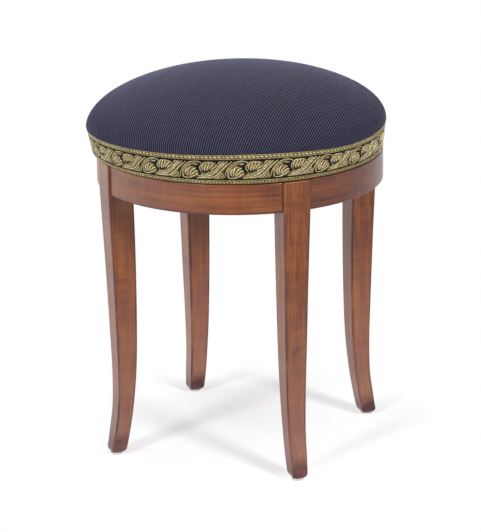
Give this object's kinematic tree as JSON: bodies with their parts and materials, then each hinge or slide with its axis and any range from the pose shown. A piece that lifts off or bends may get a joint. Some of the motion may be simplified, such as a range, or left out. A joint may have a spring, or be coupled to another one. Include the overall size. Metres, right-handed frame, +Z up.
{
  "type": "revolving piano stool",
  "caption": "Round padded seat that winds up and down on a screw, over a curved wooden apron and sabre legs.",
  "frame": {"origin": "on the floor, under the middle of the seat", "axes": "+Z up along the spindle; the front leg stands on -Y, the left leg on -X"},
  "size_m": [0.3776, 0.3776, 0.4886],
  "materials": {
    "polished_wood": "satin",
    "plain_wood": "matte",
    "board_ply": "matte",
    "black_iron": "satin",
    "bright_steel": "satin",
    "pale_glide": "satin",
    "ribbed_cloth": "matte",
    "gold_galloon": "satin",
    "stuffing": "matte"
  },
  "bodies": {
    "frame": {"leg_right": "polished_wood", "leg_back": "polished_wood", "leg_left": "polished_wood", "leg_front": "polished_wood", "apron_rail_1": "polished_wood", "apron_rail_2": "polished_wood", "apron_rail_3": "polished_wood", "apron_rail_4": "polished_wood", "glide_right": "pale_glide", "glide_back": "pale_glide", "glide_left": "pale_glide", "glide_front": "pale_glide", "cross_rail_x": "plain_wood", "cross_rail_y": "plain_wood", "nut_plate": "black_iron", "nut_screw_1": "bright_steel", "nut_screw_2": "bright_steel", "nut_screw_3": "bright_steel", "nut_screw_4": "bright_steel"},
    "screw_stop": {"stop_washer": "bright_steel"},
    "seat": {"seat_cover": "ribbed_cloth", "seat_padding": "stuffing", "seat_board": "board_ply", "seat_trim": "gold_galloon", "seat_plate": "black_iron", "plate_screw_1": "bright_steel", "plate_screw_2": "bright_steel", "plate_screw_3": "bright_steel", "plate_screw_4": "bright_steel", "spindle": "bright_steel", "hub_pin": "bright_steel", "stop_pin": "bright_steel"}
  },
  "joints": [
    {"name": "seat_rise", "type": "slide", "parent": "frame", "child": "screw_stop", "axis": [0, 0, 1], "range_m": [0, 0.0451]},
    {"name": "seat_turn", "type": "hinge", "parent": "screw_stop", "child": "seat", "pos_m": [0, 0, 0.352], "axis": [0, 0, 1], "range_deg": [0, 2700]}
  ],
  "couplings": [
    {"joint": "seat_rise", "follows": "seat_turn", "m_per_rad": 0.00095493}
  ]
}
